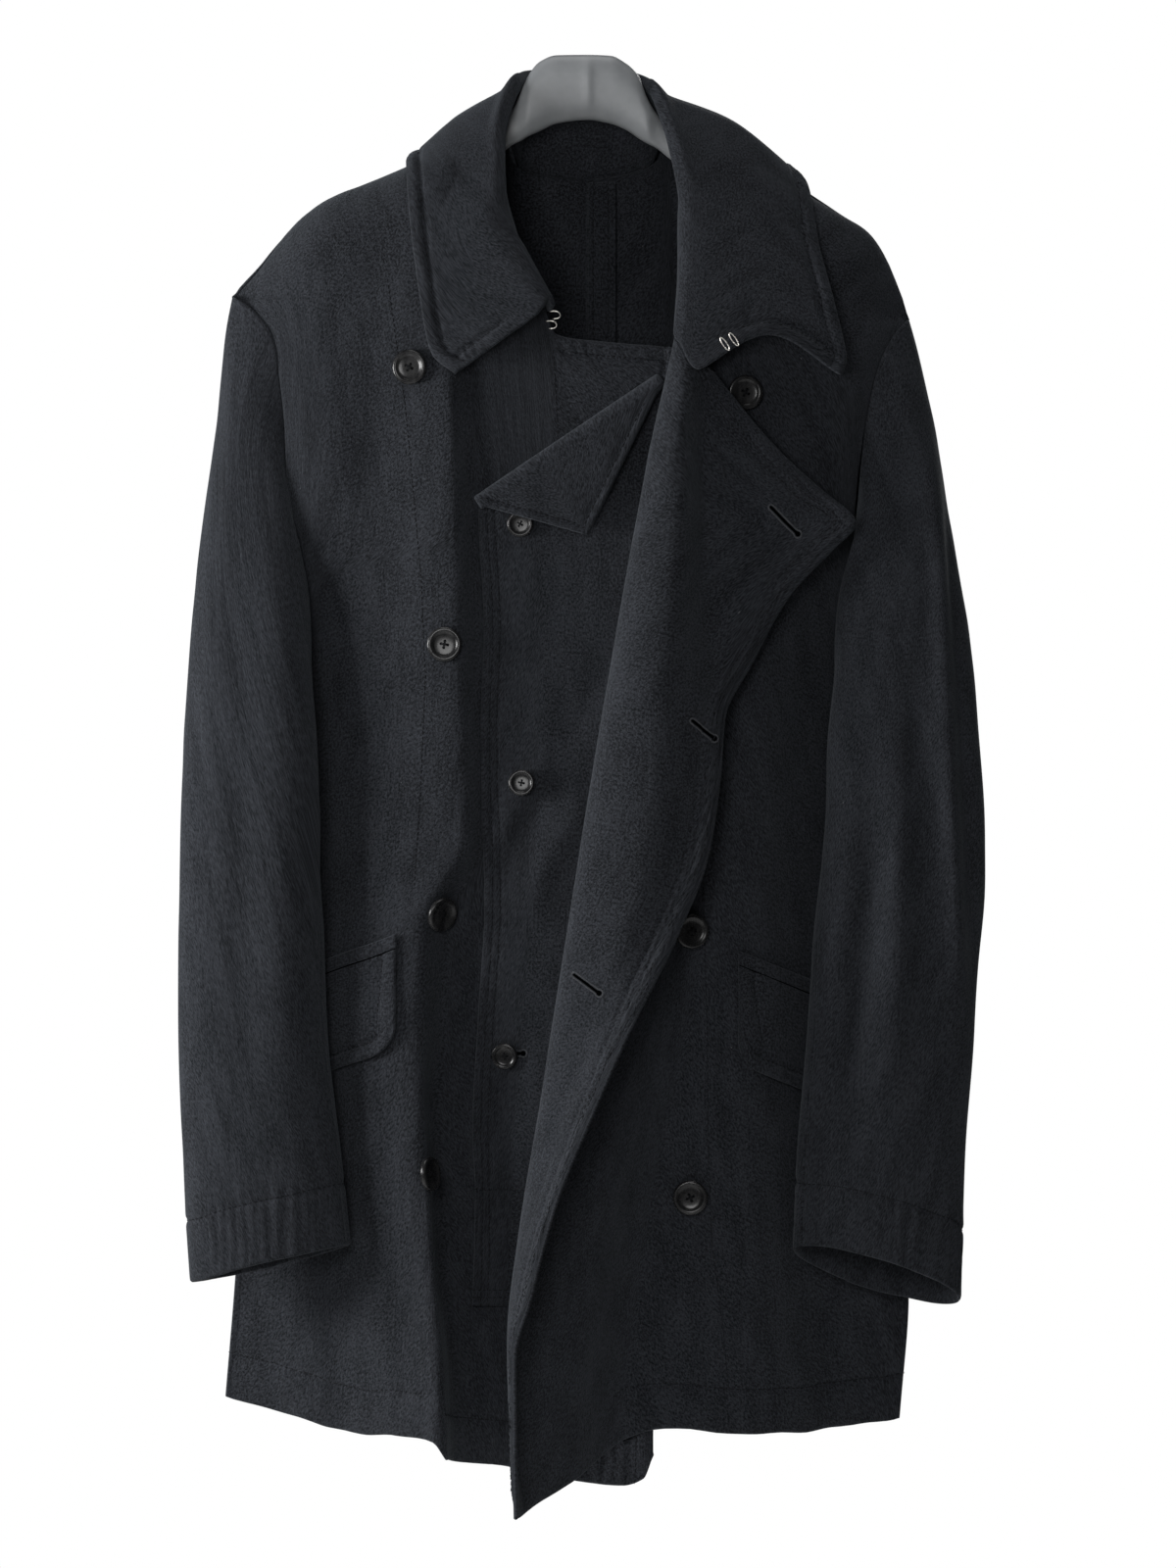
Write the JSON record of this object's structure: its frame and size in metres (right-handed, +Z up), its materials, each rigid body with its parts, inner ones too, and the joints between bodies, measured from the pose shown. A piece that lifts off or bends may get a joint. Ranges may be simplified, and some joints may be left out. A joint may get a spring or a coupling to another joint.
{
  "type": "double-breasted military coat on hanger",
  "caption": "Open double-breasted military coat in dark napped wool with a rolled collar, a turned-back lapel, an inner button flap and slanted pocket flaps, hanging on a thick hanger.",
  "frame": {"origin": "middle of the hanger's top, where a hook holds it", "axes": "+Z up, the coat's front faces -Y, the wearer's left side lies at +X"},
  "size_m": [0.5346, 0.177, 0.9701],
  "materials": {
    "wool": "napped, matt",
    "hanger_grey": "satin",
    "horn": "semi-gloss",
    "metal": "nickel"
  },
  "bodies": {
    "root": {"back_left": "wool", "back_right": "wool", "back_seam_band": "wool", "button_inner_1": "horn", "button_inner_2": "horn", "button_inner_3": "horn", "button_left_1": "horn", "button_left_2": "horn", "button_left_3": "horn", "button_left_4": "horn", "button_right_1": "horn", "button_right_2": "horn", "button_right_3": "horn", "button_right_4": "horn", "collar": "wool", "collar_eye_1": "metal", "collar_eye_2": "metal", "collar_hook_1": "metal", "collar_hook_2": "metal", "hanger": "hanger_grey", "inner_flap": "wool", "left_front": "wool", "pocket_flap_left": "wool", "pocket_flap_right": "wool", "pocket_welt_left": "wool", "pocket_welt_right": "wool", "right_front": "wool", "sleeve_left_under": "wool", "sleeve_left_upper": "wool", "sleeve_right_under": "wool", "sleeve_right_upper": "wool"}
  },
  "joints": []
}
